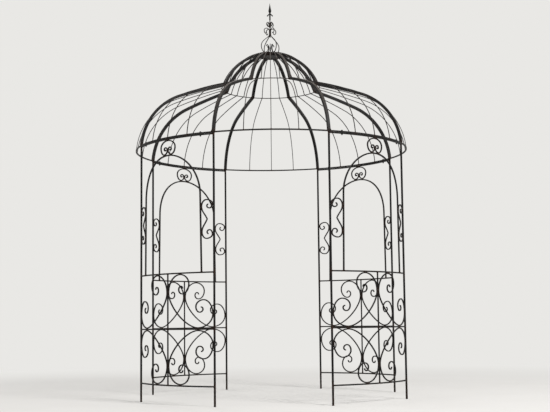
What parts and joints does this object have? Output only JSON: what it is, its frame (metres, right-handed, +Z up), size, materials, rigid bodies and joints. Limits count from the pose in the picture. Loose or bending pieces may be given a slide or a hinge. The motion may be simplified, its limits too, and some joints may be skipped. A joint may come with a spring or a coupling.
{
  "type": "metal garden gazebo",
  "caption": "Open round garden gazebo of bent steel bar with scrollwork panels, doorways and an onion dome with a scrolled finial.",
  "frame": {"origin": "on the ground at the middle of the plan", "axes": "+Z up, -Y out through the front doorway, +X to the right as seen from the front"},
  "size_m": [2.512, 2.512, 3.6815],
  "materials": {
    "post_paint": "satin",
    "panel_paint": "satin",
    "scroll_paint": "satin",
    "dome_paint": "satin",
    "finial_paint": "satin"
  },
  "bodies": {
    "root": {"front_door_left_post": "post_paint", "front_door_right_post": "post_paint", "right_door_left_post": "post_paint", "right_door_right_post": "post_paint", "back_door_left_post": "post_paint", "back_door_right_post": "post_paint", "left_door_left_post": "post_paint", "left_door_right_post": "post_paint", "front_left_rails": "panel_paint", "front_left_scrolls": "scroll_paint", "front_left_arch": "panel_paint", "front_left_arch_scrolls": "scroll_paint", "front_right_rails": "panel_paint", "front_right_scrolls": "scroll_paint", "front_right_arch": "panel_paint", "front_right_arch_scrolls": "scroll_paint", "back_right_rails": "panel_paint", "back_right_scrolls": "scroll_paint", "back_right_arch": "panel_paint", "back_right_arch_scrolls": "scroll_paint", "back_left_rails": "panel_paint", "back_left_scrolls": "scroll_paint", "back_left_arch": "panel_paint", "back_left_arch_scrolls": "scroll_paint", "dome_ring": "dome_paint", "front_door_left_rib": "dome_paint", "front_door_right_rib": "dome_paint", "right_door_left_rib": "dome_paint", "right_door_right_rib": "dome_paint", "back_door_left_rib": "dome_paint", "back_door_right_rib": "dome_paint", "left_door_left_rib": "dome_paint", "left_door_right_rib": "dome_paint", "front_rods": "dome_paint", "front_right_rods": "dome_paint", "right_rods": "dome_paint", "back_right_rods": "dome_paint", "back_rods": "dome_paint", "back_left_rods": "dome_paint", "left_rods": "dome_paint", "front_left_rods": "dome_paint", "neck_hoop": "dome_paint", "crown": "dome_paint", "finial_spear": "finial_paint", "finial_scrolls": "finial_paint"}
  },
  "joints": []
}
